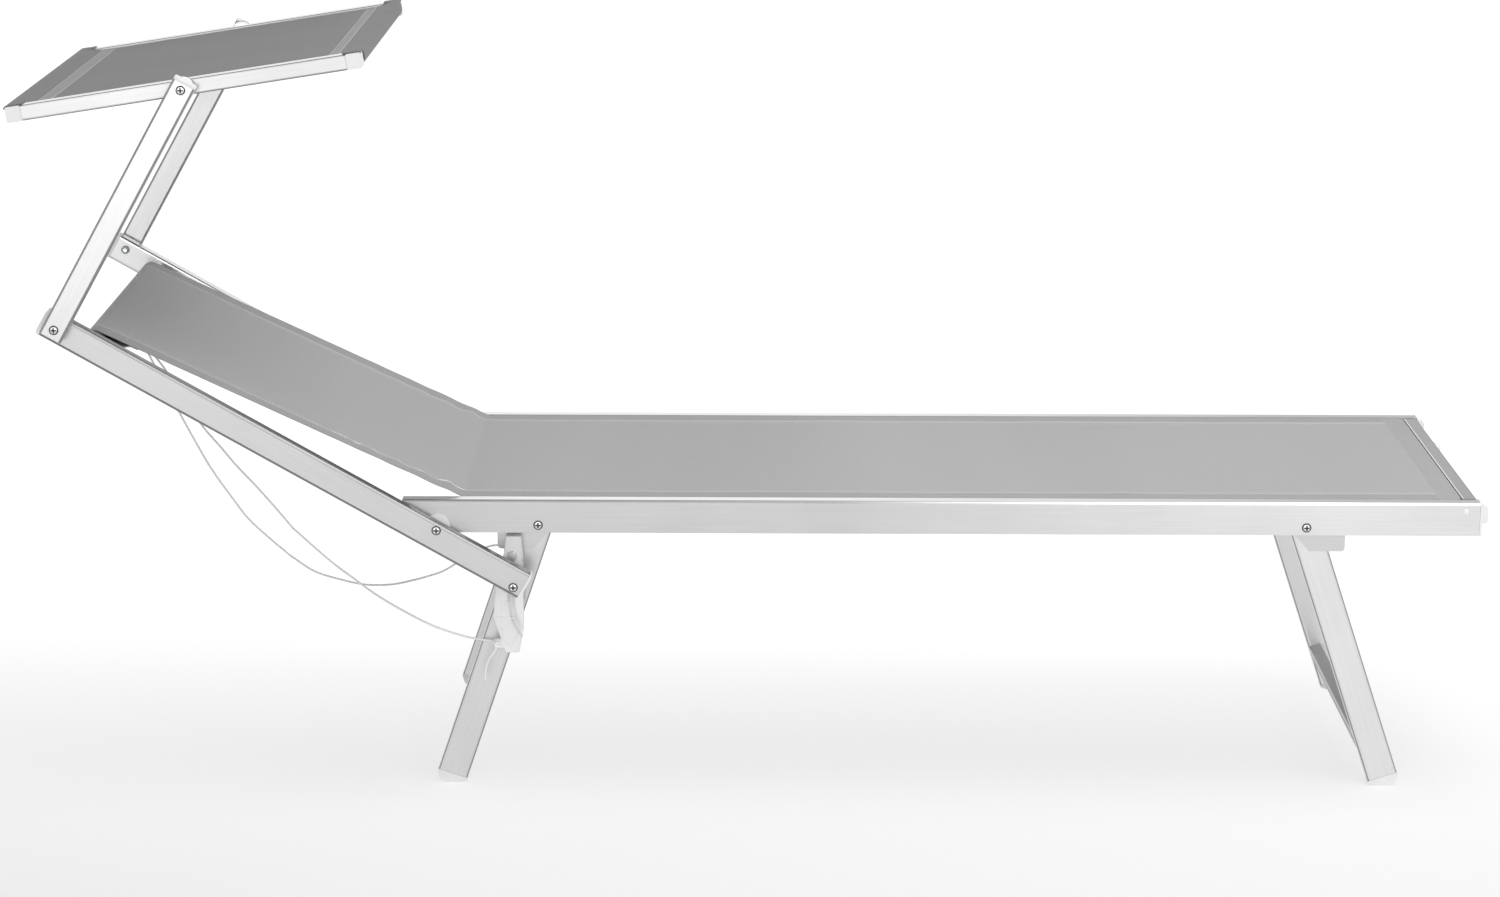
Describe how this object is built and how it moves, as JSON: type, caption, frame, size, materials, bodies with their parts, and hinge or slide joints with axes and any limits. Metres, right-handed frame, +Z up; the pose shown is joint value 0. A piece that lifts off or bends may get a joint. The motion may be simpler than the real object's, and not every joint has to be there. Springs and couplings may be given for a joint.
{
  "type": "sun lounger with canopy",
  "caption": "Folding sun lounger with a grey sling seat and reclining back, white swinging racks on cords, and a small tilting sun canopy on two uprights.",
  "frame": {"origin": "on the floor under the middle of the whole lounger, canopy included", "axes": "+X from the head end to the foot end, +Y from the near side in the picture to the far side, +Z up"},
  "size_m": [1.8748, 0.597, 0.9675],
  "materials": {
    "aluminium": "satin extruded",
    "steel": "bright zinc-like screws",
    "white_plastic": "moulded, slightly satin",
    "sling": "woven coated mesh, matt",
    "cord": "braided"
  },
  "bodies": {
    "seat_frame": {"side_rail_near": "aluminium", "side_rail_far": "aluminium", "foot_cross": "aluminium", "seat_cross": "aluminium", "seat_cloth": "sling", "foot_corner_near": "white_plastic", "foot_corner_far": "white_plastic", "arm_spacer_near": "white_plastic", "arm_spacer_far": "white_plastic", "head_bracket_near": "aluminium", "head_bracket_far": "aluminium", "foot_bracket_near": "aluminium", "foot_bracket_far": "aluminium", "head_leg_screw_near": "steel", "head_leg_screw_far": "steel", "foot_leg_screw_near": "steel", "foot_leg_screw_far": "steel", "recline_bolt_near": "steel", "recline_bolt_far": "steel"},
    "backrest": {"back_arm_near": "aluminium", "back_arm_far": "aluminium", "arm_tail_cap_near": "white_plastic", "arm_tail_cap_far": "white_plastic", "arm_head_cap_near": "white_plastic", "arm_head_cap_far": "white_plastic", "tail_pin_near": "steel", "tail_pin_far": "steel", "head_tube": "aluminium", "back_cloth": "sling", "release_cord_near": "cord", "release_cord_far": "cord"},
    "head_legs": {"head_leg_near": "aluminium", "head_leg_far": "aluminium", "head_leg_bar": "aluminium", "head_foot_cap_near": "white_plastic", "head_foot_cap_far": "white_plastic"},
    "foot_legs": {"foot_leg_near": "aluminium", "foot_leg_far": "aluminium", "foot_leg_bar": "aluminium", "foot_foot_cap_near": "white_plastic", "foot_foot_cap_far": "white_plastic"},
    "rack_near": {"rack_near": "white_plastic"},
    "rack_far": {"rack_far": "white_plastic"},
    "canopy_arms": {"canopy_upright_near": "aluminium", "canopy_upright_far": "aluminium", "upright_cap_near": "white_plastic", "upright_cap_far": "white_plastic", "upright_screw_near": "steel", "upright_screw_far": "steel", "canopy_screw_near": "steel", "canopy_screw_far": "steel"},
    "canopy": {"canopy_rail_near": "aluminium", "canopy_rail_far": "aluminium", "canopy_bar_head": "aluminium", "canopy_bar_foot": "aluminium", "canopy_corner_head_near": "white_plastic", "canopy_corner_head_far": "white_plastic", "canopy_corner_foot_near": "white_plastic", "canopy_corner_foot_far": "white_plastic", "canopy_cloth": "sling"}
  },
  "joints": [
    {"name": "recline", "type": "hinge", "parent": "seat_frame", "child": "backrest", "pos_m": [-0.40958, 0, 0.3555], "axis": [0, 1, 0], "range_deg": [-29.7, 40], "deforming": ["release_cord_near", "release_cord_far"]},
    {"name": "rack_near_swing", "type": "hinge", "parent": "seat_frame", "child": "rack_near", "pos_m": [-0.31559, 0, 0.3125], "axis": [0, 1, 0], "range_deg": [-36, 48.5]},
    {"name": "rack_far_swing", "type": "hinge", "parent": "seat_frame", "child": "rack_far", "pos_m": [-0.31559, 0, 0.3125], "axis": [0, 1, 0], "range_deg": [-36, 48.5]},
    {"name": "head_legs_fold", "type": "hinge", "parent": "seat_frame", "child": "head_legs", "pos_m": [-0.28079, 0, 0.357], "axis": [0, -1, 0], "range_deg": [0, 108.7]},
    {"name": "foot_legs_fold", "type": "hinge", "parent": "seat_frame", "child": "foot_legs", "pos_m": [0.70471, 0, 0.357], "axis": [0, 1, 0], "range_deg": [0, 108.7]},
    {"name": "canopy_arms_swing", "type": "hinge", "parent": "backrest", "child": "canopy_arms", "pos_m": [-0.88306, 0, 0.61955], "axis": [0, 1, 0], "range_deg": [-45, 40]},
    {"name": "canopy_tilt", "type": "hinge", "parent": "canopy_arms", "child": "canopy", "pos_m": [-0.71404, 0, 0.9226], "axis": [0, -1, 0], "range_deg": [-60, 60]}
  ],
  "couplings": [
    {"joint": "rack_near_swing", "follows": "recline", "ratio": 1.2},
    {"joint": "rack_far_swing", "follows": "recline", "ratio": 1.2}
  ]
}
